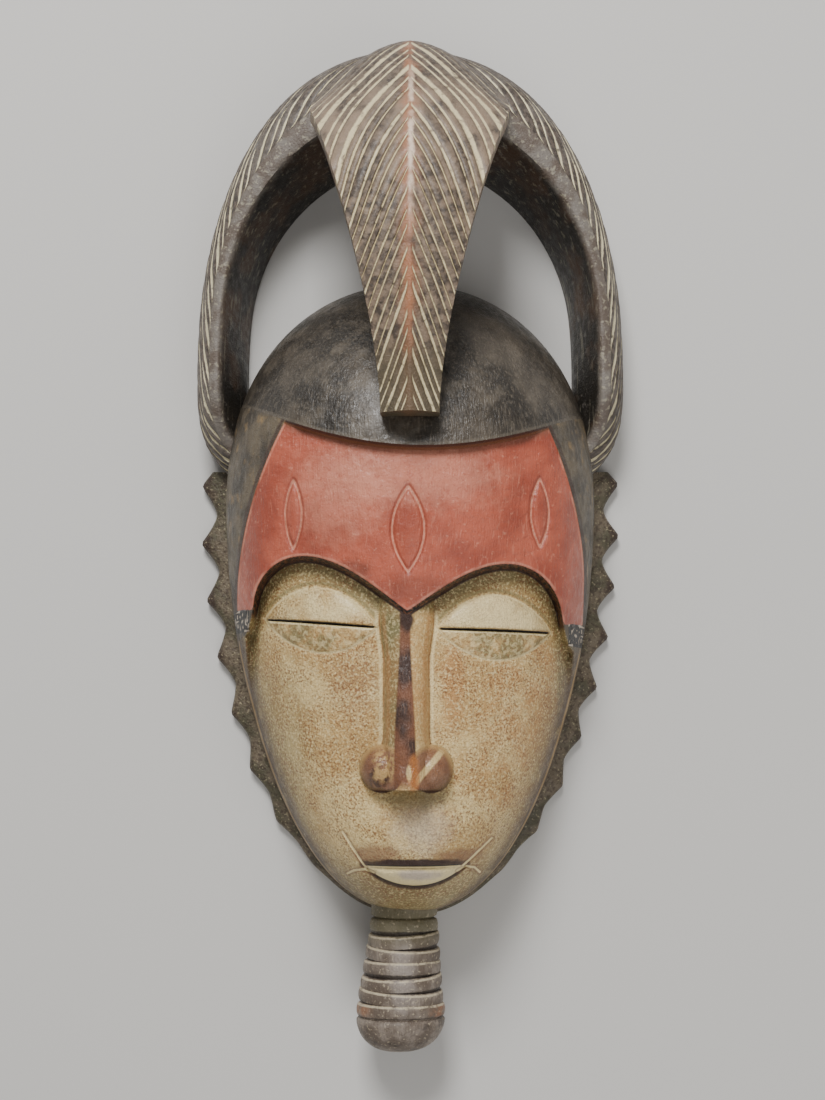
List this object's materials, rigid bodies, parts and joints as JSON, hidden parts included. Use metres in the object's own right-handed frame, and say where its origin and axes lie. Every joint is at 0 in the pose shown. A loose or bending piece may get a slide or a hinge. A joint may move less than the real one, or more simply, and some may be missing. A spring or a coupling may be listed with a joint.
{
  "type": "carved wooden face mask",
  "caption": "Carved and painted wooden face mask with a horn arch, a ridged crest, a toothed rim and a ringed beard, lying on its back.",
  "frame": {"origin": "under the middle of the mask's length and width, on the plane its flat back rests on", "axes": "+X to the viewer's right, +Y up the face to the top of the arch, +Z out of the face"},
  "size_m": [0.185, 0.4286, 0.114],
  "materials": {
    "carved_wood": "painted in brown-black, red and cream, rubbed and waxed"
  },
  "bodies": {
    "root": {"mask": "carved_wood"}
  },
  "joints": []
}
